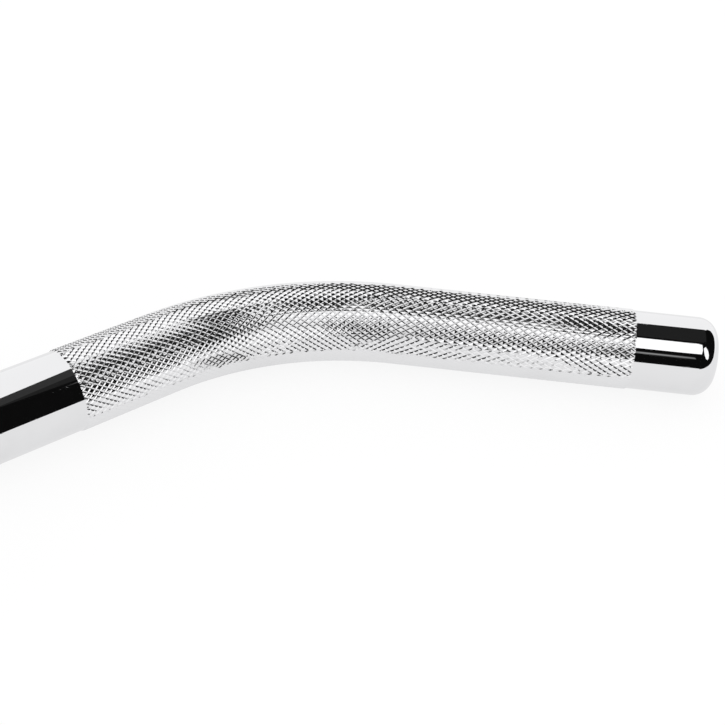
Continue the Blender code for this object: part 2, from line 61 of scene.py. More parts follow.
FRAME_BODY = "bar_frame"
EYE_BODY = "eye_stem"
BALL_BODY = "cage_and_balls"
AROUND = 264  # points round the smooth bar
QUARTER = math.pi / 2
AXIS_HEIGHT = 0.01305  # of the swivel, for the turned finishes

# Pitch and depth of the threads on the cap and on the stem, and the stem's threaded length
CAP_THREAD = (0.001, 0.00045)
STEM_THREAD = (0.00125, 0.0005)
THREADED_LENGTH = 0.0105

# What polished metal sees: compass angles, elevations (degrees) and lightness of each patch
ROOM = (
    ((16.3, 51.3), (-16.2, 67.8), 1.0),
    ((77.0, 160.1), (-18.3, 46.7), 1.0),
    ((-130.6, -40.2), (-8.8, 70.9), 0.0),
    ((-66.5, -31.0), (-20.0, 22.8), 0.0),
    ((107.4, 149.8), (21.2, 41.5), 0.0),
    ((-60.6, 62.0), (54.6, 67.8), 1.0),
    ((21.3, 31.6), (-3.9, 2.1), 0.0),
    ((70.2, 85.6), (14.2, 22.4), 0.0),
    ((-28.4, 1.9), (-3.6, 3.8), 0.0),
    ((8.2, 12.9), (26.4, 30.0), 0.32),
)
# The dark room under those patches, with half the width of its soft edge. It is open overhead
# where y plus the first lean times z is above 0 and x is below the second lean times z.
ROOM_SIDES, ROOM_HEIGHTS, ROOM_EDGE = (4.1, 129.5), (-1.3, 100.0), 0.8
OPENING_LEAN = (0.05, 0.30)
BLACK = 0.004  # lightness of what the chrome sees as black

# Outlines of the upright cards near the right tip: metres sideways and height
TIP_DARK_FRONT = (
    (-0.030, 0.0152), (0.024, 0.0183), (0.036, 0.0185), (0.036, 0.165),
    (-0.0085, 0.165), (-0.0105, 0.132), (-0.0155, 0.086), (-0.0255, 0.064), (-0.030, 0.060),
)
TIP_LIGHT_FRONT = (
    (-0.004, 0.094), (0.014, 0.091), (0.0205, 0.061), (0.020, 0.044),
    (0.014, 0.035), (0.007, 0.0345), (0.001, 0.040), (-0.005, 0.055), (-0.006, 0.075),
)
TIP_DARK_SIDE = (
    (-0.060, 0.0180), (-0.034, 0.0182), (-0.020, 0.0192), (-0.0086, 0.0215), (0.0062, 0.028),
    (0.0236, 0.035), (0.0365, 0.050), (0.0485, 0.084), (0.0485, 0.115), (-0.060, 0.115),
)
TIP_LIGHT_SIDE = ((0.010, 0.018), (0.110, 0.018), (0.110, 0.115), (0.060, 0.115), (0.045, 0.070))
TIP_FOOT = (0.2415, 0.08, 0.0)  # the floor under the right tip
# Upright cards: compass angle from the tip, distance, outline and lightness
UPRIGHT_CARDS = {
    "tip_dark_front": (40.0, 0.052, TIP_DARK_FRONT, BLACK),
    "tip_dark_side": (100.0, 0.052, TIP_DARK_SIDE, BLACK),
    "tip_light_side": (100.0, 0.056, TIP_LIGHT_SIDE, 1.0),
    "tip_light_front": (40.0, 0.05, TIP_LIGHT_FRONT, 1.15),
}
# Level cards: x and y of the corners, lightness, and how far each corner is rounded
CARD_HEIGHT = 0.5
LEVEL_CARDS = {
    "overhead_near": ([(0.16, -0.03), (0.16, 0.34), (0.29, 0.36), (0.29, -0.03)], 0.036, 0.0),
    "overhead_far": ([(0.29, -0.03), (0.29, 0.36), (0.9, 0.52), (0.9, -0.03)], 0.0165, 0.0),
    "overhead_left": ([(-0.2, -0.03), (-0.2, 0.10), (0.16, 0.10), (0.16, -0.03)], 0.03, 0.0),
    "strip_light": ([(-0.2, -0.47), (-0.2, -0.08), (0.39, -0.08), (0.39, -0.47)], 1.25, 0.05),
}
FLOOR_RADIUS = 3.0
FLOOR_GLOW = 0.88  # the floor's own light in a reflection
CAMERA_GAIN = 0.15  # what the camera sees on top of it
CAMERA_RIGHT = (0.99303, 0.10268, 0.05795)
CAMERA_UP = (-0.10786, 0.59272, 0.79815)

# What haze adds to the chrome's roughness and leaves of its colour
HAZE_ROUGH, HAZE_COLOUR = 0.022, 0.94
# Light and dark colour, roughness, its spread, strength of the relief, rings or else speckle,
# and metallic
WORKED_FINISHES = {
    # Blackened steel with a faint brown cast and a satin sheen
    "black_oxide": ((0.05, 0.048, 0.046), (0.022, 0.022, 0.023), 0.34, 0.14, 0.25, False, 1.0),
    # Hardened steel with fine grinding rings
    "ground_steel": ((0.70, 0.70, 0.72), (0.55, 0.55, 0.57), 0.14, 0.08, 0.30, True, 1.0),
    # Zinc plate: bluish, satin and slightly cloudy
    "zinc_plate": ((0.72, 0.73, 0.77), (0.58, 0.59, 0.63), 0.28, 0.14, 0.35, False, 1.0),
    # Oil-filled bronze with fine pores
    "sintered_bronze": ((0.66, 0.43, 0.22), (0.38, 0.22, 0.10), 0.38, 0.16, 0.6, False, 1.0),
    # Brass strip with fine rolling and turning marks
    "stamped_brass": ((0.80, 0.62, 0.29), (0.66, 0.48, 0.20), 0.24, 0.10, 0.30, True, 1.0),
    # Matt black rubber with a fine moulded grain
    "nitrile_rubber": ((0.035, 0.035, 0.036), (0.018, 0.018, 0.019), 0.62, 0.15, 0.4, False, 0.0),
}
INNER_FINISHES = {
    "fixed_race": "ground_steel",
    "turning_race": "ground_steel",
    "ball_cage": "stamped_brass",
    "stem_bush": "sintered_bronze",
    "tail_bush": "sintered_bronze",
    "dust_seal": "nitrile_rubber",
    "nut_washer": "zinc_plate",
    "castle_nut": "zinc_plate",
    "split_pin": "zinc_plate",
}


def length(name, description, default):
    """A property in metres."""
    return FloatProperty(
        name=name, description=description, default=default, subtype="DISTANCE", unit="LENGTH"
    )


def share(name, description, default):
    """A property between 0 and 1."""
    return FloatProperty(
        name=name, description=description, default=default, min=0.0, max=1.0, subtype="FACTOR"
    )


def colour(name, description, default):
    """A linear colour without alpha."""
    return FloatVectorProperty(
        name=name, description=description, default=default, min=0.0, max=1.0, subtype="COLOR"
    )


def repeats(name, description, default):
    """How often something repeats."""
    return IntProperty(name=name, description=description, default=default, min=8, max=120)


class BarSizes(bpy.types.PropertyGroup):
    """Sizes of the bent bar along its centre line."""

    radius: length("Bar radius", "Half of the smooth bar's thickness", 0.0127)
    tip_fillet: length("End rounding", "Radius round the rim of each end", 0.00635)
    tip_length: length("Smooth end", "From the tip to where the knurl begins", 0.027)
    handle_length: length("Handle", "Straight run from the tip to the outer bend", 0.104)
    bend_radius: length("Outer bend", "Radius of the bend in each arm", 0.100)
    arm_length: length("Arm", "Straight run from the outer bend to the point of the V", 0.058)
    apex_radius: length("Point of the V", "Radius of the bend in the middle", 0.045)
    arm_angle: FloatProperty(
        name="Arm angle",
        description="Angle of each arm to the handles",
        default=math.radians(45),
        subtype="ANGLE",
        unit="ROTATION",
    )


class KnurlSizes(bpy.types.PropertyGroup):
    """Sizes of the knurled grips."""

    length: length("Grip length", "Length of one grip along the bar", 0.189)
    crest: length("Crest", "Height of the diamonds over the smooth bar", 0.00035)
    depth: length("Groove depth", "From the top of a diamond to the bottom of a groove", 0.00029)
    run_out: share("Run-out", "Diamonds over which the knurl ends", 0.3)
    finer: FloatProperty(
        name="Finer arm",
        description="Diamonds along the arm over those along the hand part",
        default=1.21,
        min=0.5,
        max=2.0,
    )
    groove_share: share("Groove share", "Half of a groove's width over the pitch", 0.22)
    shoulder: share("Shoulder", "Height of a diamond's edge over the groove depth", 0.88)
    uneven: share("Unevenness", "How much the diamonds differ", 0.10)
    starts: repeats("Diamonds around", "Diamonds round the bar", 44)
    rows: repeats("Diamonds along", "Diamonds along one grip", 66)


class SwivelSizes(bpy.types.PropertyGroup):
    """Sizes of the swivel. Stations run along its axis, out from the bar's centre line."""

    housing_radius: length("Housing radius", "Outside of the barrel and the cap", 0.0125)
    chamber_radius: length("Chamber radius", "Inside of the barrel", 0.0098)
    tail_seat: length("Tail seat", "Station of the bottom of the tail bore", 0.0175)
    tail_bore: length("Tail bore", "Radius of the bore behind the chamber", 0.0044)
    chamber_floor: length("Chamber floor", "Station of the chamber's floor", 0.0237)
    mouth: length("Mouth", "Station of the barrel's open end", 0.053175)
    edge: length("Barrel edge", "Rounding of the barrel's open end", 0.0006)
    weld_radius: length("Weld", "Half of the weld bead's thickness", 0.0028)
    weld_ripples: repeats("Weld ripples", "Ripples round the weld bead", 58)
    grub_station: length("Grub screw", "Station of the grub screw in the barrel", 0.048175)
    grub_radius: length("Grub screw radius", "Outside of the grub screw", 0.0018)
    grub_room: length("Grub screw room", "Gap round the grub screw and above it", 0.0003)
    socket_radius: length("Socket", "Centre to corner of the screw's hexagon socket", 0.0009)
    socket_depth: length("Socket depth", "Depth of the hexagon socket", 0.0012)
    gland_start: length("Cap start", "Station of the cap's inner end", 0.043175)
    flange_start: length("Flange start", "Station of the underside of the flange", 0.053475)
    gland_face: length("Cap face", "Station of the cap's outer face", 0.059475)
    spigot_radius: length("Spigot radius", "Outside of the cap's screwed part", 0.0095)
    gland_bore: length("Cap bore", "Radius of the bore for the stem bush", 0.0058)
    pocket_radius: length("Pocket radius", "Radius of the seal's pocket", 0.0074)
    pocket_floor: length("Pocket floor", "Station of the bottom of the seal's pocket", 0.054675)
    flange_edge: length("Flange edge", "Rounding of the cap's outer rim", 0.0010)
    slot_width: length("Spanner slot", "Width of a spanner slot", 0.0032)
    slot_depth: length("Spanner slot depth", "Depth of a spanner slot", 0.0016)
    collar_radius: length("Collar radius", "Outside of the eye's collar", 0.0092)
    collar_start: length("Collar start", "Station of the collar's inner side", 0.059775)
    collar_end: length("Collar end", "Station of the collar's outer side", 0.062775)
    stem_radius: length("Stem radius", "Outside of the eye's stem", 0.004)
    stem_end: length("Stem end", "Station where the stem steps down to its tail", 0.024)
    tail_radius: length("Tail radius", "Outside of the stem's tail", 0.0026)
    tail_end: length("Tail end", "Station of the tip of the tail", 0.0181)
    neck_width: length("Neck width", "Width of the eye's neck", 0.013)
    neck_fillet: length("Neck fillet", "Radius from the neck into the ring", 0.007)
    eye_centre: length("Eye centre", "Station of the middle of the ring", 0.086195)
    eye_radius: length("Eye radius", "Outside of the ring", 0.019)
    hole_radius: length("Eye hole", "Radius of the hole", 0.011)
    eye_thickness: length("Eye thickness", "Between the ring's two flat cheeks", 0.011)
    eye_edge: length("Eye edge", "Rounding of the ring's edges", 0.0018)
    ball_radius: length("Ball radius", "Radius of a bearing ball", 0.0015875)


class FinishLook(bpy.types.PropertyGroup):
    """Colours and gloss of the finishes."""

    chrome: colour("Chrome", "Reflection colour of the plate", (0.86, 0.86, 0.87))
    chrome_gloss: share("Chrome roughness", "Roughness of clean plate", 0.018)
    knurl_gloss: share("Knurl roughness", "Roughness of the plate on the knurl", 0.06)


class StudioLook(bpy.types.PropertyGroup):
    """Camera, floor and what the chrome sees around it."""

    camera_place: FloatVectorProperty(
        name="Camera",
        description="Where the camera stands",
        default=(0.15559, -0.27198, 0.26603),
        subtype="XYZ",
        unit="LENGTH",
    )
    lens: FloatProperty(
        name="Focal length", description="On a 36 mm wide sensor", default=66.69, unit="CAMERA"
    )
    floor_shade: share("Floor", "Lightness of the floor", 0.93)
    floor_glow: share("Floor glow", "Part of the floor's white that no shadow dims", 0.80)


def centre_line(along, bar):
    """The bar's centre line at signed distances from the point of the V, and its heading.

    It is an arc, a straight arm, an opposite arc and a straight handle. Each stretch adds the
    integral of the heading's cosine to x and of its sine to y, and the left half mirrors x.
    """
    side, run = np.sign(along), np.abs(along)
    arc_end = bar.apex_radius * bar.arm_angle
    arm_end = arc_end + bar.arm_length
    bend_end = arm_end + bar.bend_radius * bar.arm_angle
    first = np.clip(run, 0, arc_end) / bar.apex_radius
    arm = np.clip(run - arc_end, 0, bar.arm_length)
    second = np.clip(run - arm_end, 0, bend_end - arm_end) / bar.bend_radius
    handle = np.maximum(run - bend_end, 0)
    slope = bar.arm_angle
    x = bar.apex_radius * np.sin(first) + arm * math.cos(slope) + handle
    x = x + bar.bend_radius * (math.sin(slope) - np.sin(slope - second))
    y = bar.apex_radius * (1 - np.cos(first)) + arm * math.sin(slope)
    y = y + bar.bend_radius * (np.cos(slope - second) - math.cos(slope))
    return side * x, y, side * (first - second)


def half_length(bar):
    """Length of the centre line from the point of the V to a tip."""
    return (bar.apex_radius + bar.bend_radius) * bar.arm_angle + bar.arm_length + bar.handle_length


def bar_place(bar):
    """y of the centre line at the point of the V, and its height, from the CAD bar's box."""
    low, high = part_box("bar")
    _, tip_y, _ = centre_line(np.array(half_length(bar)), bar)
    knurl_top = (high.z - low.z) / 2
    return high.y - knurl_top - float(tip_y), low.z + knurl_top


def around_bar(along, turn, radius, bar):
    """Points on the bar: centre line plus radius times (cos turn, sin turn) in the section.

    The section's first direction is the centre line's left-hand normal and its second is up.
    """
    x, y, heading = centre_line(along, bar)
    start_y, height = bar_place(bar)
    outward = radius * np.cos(turn)
    y = start_y + y + outward * np.cos(heading)
    return points_at(x - outward * np.sin(heading), y, height + radius * np.sin(turn))


def points_at(x, y, z):
    """An array of points, from three values or arrays that spread over one another."""
    return np.stack(np.broadcast_arrays(x, y, z), axis=-1)


def full_turn(columns):
    """Angles of evenly spaced columns round an axis."""
    return np.arange(columns) * 2 * np.pi / columns


def grid_quads(rows, columns):
    """Quads of a grid of rows by columns, joined round in the column direction."""
    i, j = np.arange(rows - 1)[:, None], np.arange(columns)[None, :]
    k = (j + 1) % columns
    quads = [i * columns + j, i * columns + k, (i + 1) * columns + k, (i + 1) * columns + j]
    return np.stack(np.broadcast_arrays(*quads), axis=-1).reshape(-1, 4)


def fan(centre, ring):
    """Triangles from one centre vertex to a ring of vertices."""
    return np.stack([np.full_like(ring, centre), ring, np.roll(ring, -1)], axis=-1)


def signed_volume(points, sheets):
    """Volume inside a closed surface, negative if its faces point inwards."""
    total = 0.0
    for sheet in sheets:
        for step in range(1, sheet.shape[1] - 1):
            a, b, c = points[sheet[:, 0]], points[sheet[:, step]], points[sheet[:, step + 1]]
            total += float(np.einsum("ij,ij->", a, np.cross(b, c)))
    return total / 6


def fill_mesh(name, points, sheets, flat=(), closed=True):
    """A mesh object from an array of points and a list of face arrays.

    The arrays numbered in flat are shaded flat, with a hard edge to the rest. A closed surface
    is turned so that its faces point outwards.
    """
    points = np.asarray(points, float)
    if closed and signed_volume(points, sheets) < 0:
        sheets = [sheet[:, ::-1] for sheet in sheets]
    mesh = bpy.data.meshes.new(name)
    mesh.vertices.add(len(points))
    mesh.vertices.foreach_set("co", points.astype(np.float32).ravel())
    corners = np.concatenate([s.ravel() for s in sheets])
    totals = np.concatenate([np.full(len(s), s.shape[1]) for s in sheets])
    mesh.loops.add(len(corners))
    mesh.loops.foreach_set("vertex_index", corners.astype(np.int32))
    mesh.polygons.add(len(totals))
    mesh.polygons.foreach_set("loop_start", (np.cumsum(totals) - totals).astype(np.int32))
    smooth = np.concatenate([np.full(len(s), n not in flat) for n, s in enumerate(sheets)])
    mesh.polygons.foreach_set("use_smooth", smooth)
    mesh.update(calc_edges=True)
    if mesh.validate():
        raise RuntimeError(f"{name}: the surface has faulty faces")
    if flat and smooth.any():
        ends = np.empty(2 * len(mesh.edges), np.int32)
        mesh.edges.foreach_get("vertices", ends)
        mark = np.zeros(len(points), bool)
        mark[np.concatenate([sheets[n].ravel() for n in flat])] = True
        sharp = mark[ends].reshape(-1, 2).all(axis=1)
        mesh.attributes.new("sharp_edge", "BOOLEAN", "EDGE")
        mesh.attributes["sharp_edge"].data.foreach_set("value", sharp)
    thing = bpy.data.objects.new(name, mesh)
    bpy.context.scene.collection.objects.link(thing)
    return thing


def rows_mesh(name, rows, first=None, last=None, loop=False, flat_ends=False):
    """A surface from closed rings of points, given as an array of rows by columns by 3.

    The first and last ring are each closed by a fan to a given point. With loop, the last
    ring joins the first instead, as on a ring-shaped piece.
    """
    count, columns = rows.shape[0] * rows.shape[1], rows.shape[1]
    quads = grid_quads(len(rows), columns)
    points, sheets = [rows.reshape(-1, 3)], [quads]
    if loop:
        j = np.arange(columns)
        k = (j + 1) % columns
        seam = [count - columns + j, count - columns + k, k, j]
        sheets = [np.concatenate([quads, np.stack(seam, axis=-1)])]
    rings = (np.arange(columns)[::-1], count - columns + np.arange(columns))
    for place, ring in zip((first, last), rings):
        if place is not None:
            sheets.append(fan(count + len(points) - 1, ring))
            points.append(np.asarray(place, float).reshape(1, 3))
    flat = range(1, len(sheets)) if flat_ends else ()
    return fill_mesh(name, np.concatenate(points), sheets, flat)


def rounded(sized, closed=False, steps=7, near=0.00006):
    """A profile of radii and stations through corners that are given with their rounding.

    An arc runs between the two points where it touches the sides. A point close to each end
    of a straight run keeps the shading of that run flat.
    """
    corners = np.array([row[:2] for row in sized], float)
    count = len(corners)
    out = []
    for n, (_, _, radius) in enumerate(sized):
        here = corners[n]
        if not closed and n in (0, count - 1):
            out.append(here[None])
            continue
        back, ahead = corners[n - 1] - here, corners[(n + 1) % count] - here
        back, ahead = back / np.linalg.norm(back), ahead / np.linalg.norm(ahead)
        half = math.acos(np.clip(np.dot(back, ahead), -1, 1)) / 2
        reach = radius / math.tan(half)
        middle = here + (back + ahead) / np.linalg.norm(back + ahead) * radius / math.sin(half)
        sweep = np.linspace(-1, 1, steps)[:, None] * (QUARTER - half)
        inward = (here - middle) / np.linalg.norm(here - middle)
        side = (ahead - back) / np.linalg.norm(ahead - back)
        bow = middle + radius * (np.cos(sweep) * inward + np.sin(sweep) * side)
        out += [(here + back * (reach + near))[None], bow, (here + ahead * (reach + near))[None]]
    return np.concatenate(out)


def dress(thing, finish, body, slot, *nodes):
    """Gives a new piece its material and its body, and hides the CAD nodes that it stands for. The
    slot is not used.
    """
    thing.data.materials.append(finish)
    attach(thing, body)
    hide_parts(*nodes)


def feed(tree, made, inputs):
    """Feeds a node's inputs, each from a socket or with a constant."""
    for key, value in inputs.items():
        if isinstance(value, bpy.types.NodeSocket):
            tree.links.new(value, made.inputs[key])
        else:
            made.inputs[key].default_value = value


def node(tree, kind, inputs=None, **settings):
    """One shader node, with its settings and inputs."""
    made = tree.nodes.new(kind)
    for key, value in settings.items():
        setattr(made, key, value)
    feed(tree, made, inputs or {})
    return made


def maths(tree, operation, *values):
    """The result of a Math node."""
    return node(tree, "ShaderNodeMath", dict(enumerate(values)), operation=operation).outputs[0]


def fade(tree, value, start, end, low=0.0, high=1.0):
    """A value mapped smoothly from start..end to low..high and held outside."""
    inputs = {"Value": value, "From Min": start, "From Max": end, "To Min": low, "To Max": high}
    made = node(tree, "ShaderNodeMapRange", inputs, interpolation_type="SMOOTHSTEP")
    return made.outputs["Result"]


def noise(tree, place, scale, detail, **more):
    """The value of a noise at a place."""
    inputs = {"Vector": place, "Scale": scale, "Detail": detail, **more}
    return node(tree, "ShaderNodeTexNoise", inputs).outputs["Fac"]


def blend(tree, factor, start, end):
    """A colour between two, by a factor."""
    inputs = {"Factor": factor, "A": (*start, 1.0), "B": (*end, 1.0)}
    return node(tree, "ShaderNodeMix", inputs, data_type="RGBA").outputs["Result"]


def relief(tree, height, strength, distance, invert=False):
    """The normal of a surface with a fine relief."""
    inputs = {"Height": height, "Strength": strength, "Distance": distance}
    return node(tree, "ShaderNodeBump", inputs, invert=invert).outputs["Normal"]


def new_group(name, inputs, outputs):
    """A shader node group whose named inputs and outputs are numbers."""
    tree = bpy.data.node_groups.new(name, "ShaderNodeTree")
    for side, labels in (("INPUT", inputs), ("OUTPUT", outputs)):
        for label in labels:
            tree.interface.new_socket(label, in_out=side, socket_type="NodeSocketFloat")
    return tree, tree.nodes.new("NodeGroupInput"), tree.nodes.new("NodeGroupOutput")


def group_handling():
    """Haze left by hands and cloths, and hair-fine wiping scratches.

    Haze is soft noise pushed towards its high end. Scratches are the thin lines where a
    stretched noise crosses its middle value.
    """
    known = bpy.data.node_groups.get("handling_marks")
    if known:
        return known
    tree, given, made = new_group(
        "handling_marks", ["Haze Scale", "Scratch Scale"], ["Haze", "Scratches"]
    )
    place = node(tree, "ShaderNodeTexCoord").outputs["Object"]
    cloud = noise(tree, place, given.outputs["Haze Scale"], 4.0, Roughness=0.6)
    stretched = node(tree, "ShaderNodeMapping", {"Vector": place, "Scale": (0.12, 1.0, 1.0)})
    lines = noise(tree, stretched.outputs[0], given.outputs["Scratch Scale"], 2.0, Distortion=0.4)
    gap = maths(tree, "ABSOLUTE", maths(tree, "SUBTRACT", lines, 0.5))
    scratches = fade(tree, gap, 0.0, 0.012, 1.0, 0.0)
    feed(tree, made, {"Haze": fade(tree, cloud, 0.45, 0.75), "Scratches": scratches})
    return tree


def new_material(name):
    """An empty material with its Principled shader."""
    material = bpy.data.materials.new(name)
    material.use_nodes = True
    tree = material.node_tree
    return material, tree, tree.nodes["Principled BSDF"]


def chrome_plate(look, name="chrome_plate", gloss=None):
    """Mirror chrome: a faint haze raises its roughness and darkens it, and scratches dent it."""
    known = bpy.data.materials.get(name)
    if known:
        return known
    material, tree, shader = new_material(name)
    scales = {"Haze Scale": 22.0, "Scratch Scale": 260.0}
    marks = node(tree, "ShaderNodeGroup", scales, node_tree=group_handling())
    haze = marks.outputs["Haze"]
    clean = look.chrome_gloss if gloss is None else gloss
    paint = {
        "Base Color": blend(tree, haze, look.chrome, [HAZE_COLOUR * c for c in look.chrome]),
        "Metallic": 1.0,
        "Roughness": maths(tree, "MULTIPLY_ADD", haze, HAZE_ROUGH, clean),
        "Normal": relief(tree, marks.outputs["Scratches"], 0.05, 0.00002, invert=True),
    }
    feed(tree, shader, paint)
    return material


def group_turned():
    """Fine rings left by turning or grinding, about the swivel's axis.

    The distance from the axis and the station along it, each stretched by the ring scale,
    drive a noise, so the marks run round the axis. Speckle is a finer even noise.
    """
    known = bpy.data.node_groups.get("turned_marks")
    if known:
        return known
    tree, given, made = new_group(
        "turned_marks", ["Axis Height", "Ring Scale", "Speckle Scale"], ["Rings", "Speckle"]
    )
    place = node(tree, "ShaderNodeTexCoord").outputs["Object"]
    parts = node(tree, "ShaderNodeSeparateXYZ", {0: place}).outputs
    up = maths(tree, "SUBTRACT", parts[2], given.outputs["Axis Height"])
    square = maths(tree, "MULTIPLY_ADD", parts[0], parts[0], maths(tree, "MULTIPLY", up, up))
    distance = maths(tree, "SQRT", square)
    flat = node(tree, "ShaderNodeCombineXYZ", {0: distance, 1: parts[1], 2: 0.0}).outputs[0]
    rings = noise(tree, flat, given.outputs["Ring Scale"], 2.0, Roughness=0.5)
    speckle = noise(tree, place, given.outputs["Speckle Scale"], 3.0, Roughness=0.7)
    feed(tree, made, {"Rings": rings, "Speckle": speckle})
    return tree


def worked_finish(name):
    """A finish of the table: turned rings or speckle in its colour, roughness and relief."""
    known = bpy.data.materials.get(name)
    if known:
        return known
    light, dark, rough, spread, bump, ringed, metallic = WORKED_FINISHES[name]
    material, tree, shader = new_material(name)
    inputs = {"Axis Height": AXIS_HEIGHT, "Ring Scale": 5000.0, "Speckle Scale": 1500.0}
    marks = node(tree, "ShaderNodeGroup", inputs, node_tree=group_turned())
    speckle = fade(tree, marks.outputs["Speckle"], 0.35, 0.65)
    pattern = marks.outputs["Rings"] if ringed else speckle
    paint = {
        "Base Color": blend(tree, pattern, dark, light),
        "Metallic": metallic,
        "Roughness": maths(tree, "MULTIPLY_ADD", speckle, spread, rough),
        "Normal": relief(tree, pattern, bump, 0.00003),
    }
    feed(tree, shader, paint)
    return material


def smooth_stretch(name, along, radius, bar, finish):
    """A smooth stretch of the bar, closed by a disc at each end that isn't a tip.

    Rings round the centre line at the distances in along have the radii in radius.
    """
    rows = around_bar(along[:, None], full_turn(AROUND), radius[:, None], bar)
    ends = around_bar(along[[0, -1]], 0.0, 0.0, bar)
    dress(rows_mesh(name, rows, *ends, flat_ends=True), finish, FRAME_BODY, "chrome", "bar")


def end_profile(bar):
    """Distances and radii from the knurl out to a tip: cylinder, quarter-round rim, flat face."""
    end = half_length(bar)
    straight = np.linspace(end - bar.tip_length, end - bar.tip_fillet - 0.0001, 15)
    bow = np.linspace(0, QUARTER, 41)
    rim = end - bar.tip_fillet * (1 - np.sin(bow))
    rim_radius = bar.radius - bar.tip_fillet * (1 - np.cos(bow))
    face = rim_radius[-1] * np.array([0.985, 0.7, 0.4, 0.02])
    along = np.concatenate([straight, rim, np.full(len(face), end)])
    return along, np.concatenate([np.full(len(straight), bar.radius), rim_radius, face])


def diamond_noise(a, b, seed):
    """A repeatable number from -1 to 1 for each diamond, from its two groove counts."""
    wave = np.sin(a * 127.1 + b * 311.7 + seed * 74.7) * 43758.5453
    return 2 * (wave - np.floor(wave)) - 1


def knurl_places(start, end, bar, knurl):
    """Distances of the knurl's rows: their density grows from the hand part to the arm.

    The density is that of the hand part beyond the outer bend and the arm's before it, with a
    straight change between. Rows lie where the sum of the density passes whole steps.
    """
    place = np.linspace(start, end, 2001)
    bend_start = bar.apex_radius * bar.arm_angle + bar.arm_length
    bend_end = bend_start + bar.bend_radius * bar.arm_angle
    density = np.interp(np.abs(place), [bend_start, bend_end], [knurl.finer, 1.0])
    total = np.concatenate([[0.0], np.cumsum((density[1:] + density[:-1]) / 2)])
    return total / total[-1], place


def knurl_surface(start, end, bar, knurl):
    """Points and triangles of one knurled grip.

    Two families of helical grooves cross. With u diamonds around and v diamonds along, one
    family lies where u + v is whole and the other where u - v is whole. The height rises from
    the nearer groove to the shoulder of a diamond, and gently on to its middle. The grid has 4
    steps to a diamond each way. Its shoulder lines are drawn sideways to the groove's true
    width, and its squares are cut along the grooves and shoulders so that every crease is an
    edge. The knurl fades to nothing at both ends.
    """
    i = np.arange(4 * knurl.starts)[None, :]
    j = np.arange(4 * knurl.rows + 1)[:, None]
    a, b = i + j, i - j
    drawn = np.array([0, knurl.groove_share - 0.25, 0, 0.25 - knurl.groove_share])
    edge = np.minimum(j, 4 * knurl.rows - j)
    depth = np.clip(edge / (4 * knurl.run_out), 0, 1)
    depth = depth * depth * (3 - 2 * depth)
    u = (i + np.sign(depth) * 2 * (drawn[a % 4] + drawn[b % 4])) / (4 * knurl.starts)
    v = (j + np.sign(depth) * 2 * (drawn[a % 4] - drawn[b % 4])) / (4 * knurl.rows)
    rise = np.array([0, knurl.shoulder, 1.0, knurl.shoulder])
    height = np.minimum(rise[a % 4], rise[b % 4])
    cell_a, cell_b = a // 4 % knurl.starts, b // 4 % knurl.starts
    tilt_a = diamond_noise(cell_a, cell_b, 1) * ((a % 4) / 4 - 0.5)
    tilt_b = diamond_noise(cell_a, cell_b, 2) * ((b % 4) / 4 - 0.5)
    size = diamond_noise(cell_a, cell_b, 3)
    inside = (a % 4 > 0) & (b % 4 > 0)
    uneven = knurl.uneven * np.where(inside, tilt_a + tilt_b + 0.25 * size - 0.5, 0.0)
    low = 1 - np.minimum(height * (1 + uneven), 1.0)
    radius = bar.radius + depth * (knurl.crest - knurl.depth * low)
    share_along, place = knurl_places(start, end, bar, knurl)
    along = np.interp(v, share_along, place)
    points = around_bar(along, u * 2 * np.pi, radius, bar)
    columns = 4 * knurl.starts
    quads = grid_quads(4 * knurl.rows + 1, columns)
    along_b = np.where((i + j) % 2 == 0, b % 4 == 0, a % 4 == 1)[:-1].ravel()
    one = np.where(along_b[:, None], quads[:, [0, 1, 2]], quads[:, [0, 1, 3]])
    two = np.where(along_b[:, None], quads[:, [0, 2, 3]], quads[:, [1, 2, 3]])
    count = points.shape[0] * columns
    caps = around_bar(np.array([start, end]), 0.0, 0.0, bar)
    first, last = np.arange(columns)[::-1], count - columns + np.arange(columns)
    sheets = [np.concatenate([one, two]), fan(count, first), fan(count + 1, last)]
    return np.concatenate([points.reshape(-1, 3), caps]), sheets


def on_axis(radius, turn, station, bar):
    """Points round the swivel's axis: turn 0 points to +X and a quarter turn to +Z."""
    start_y, height = bar_place(bar)
    return points_at(radius * np.cos(turn), start_y - station, height + radius * np.sin(turn))


def turned_rows(profile, columns, bar):
    """Rings of a turned shape, from a profile of radii and stations."""
    return on_axis(profile[:, :1], full_turn(columns), profile[:, 1:], bar)


def threaded(radius, station, turn, rows, thread):
    """Radii with a thread in some rows: a triangle wave along the axis.

    It shifts by its pitch in one turn. The thread is given as its pitch and depth.
    """
    pitch, depth = thread
    wave = (station / pitch - turn / (2 * np.pi)) % 1
    cut = np.zeros((len(radius), 1), bool)
    cut[rows] = True
    return radius - np.where(cut, depth * np.abs(2 * wave - 1), 0)


def bar_surface_station(across, height, bar):
    """Station where a line beside the swivel's axis meets the bent bar's near side.

    The bar is a ring of the apex radius: the distance from the ring's axis is the apex radius
    plus the root of bar radius squared less height squared.
    """
    reach = np.sqrt(np.maximum(bar.radius**2 - height**2, 0))
    return np.sqrt((bar.apex_radius + reach) ** 2 - across**2) - bar.apex_radius


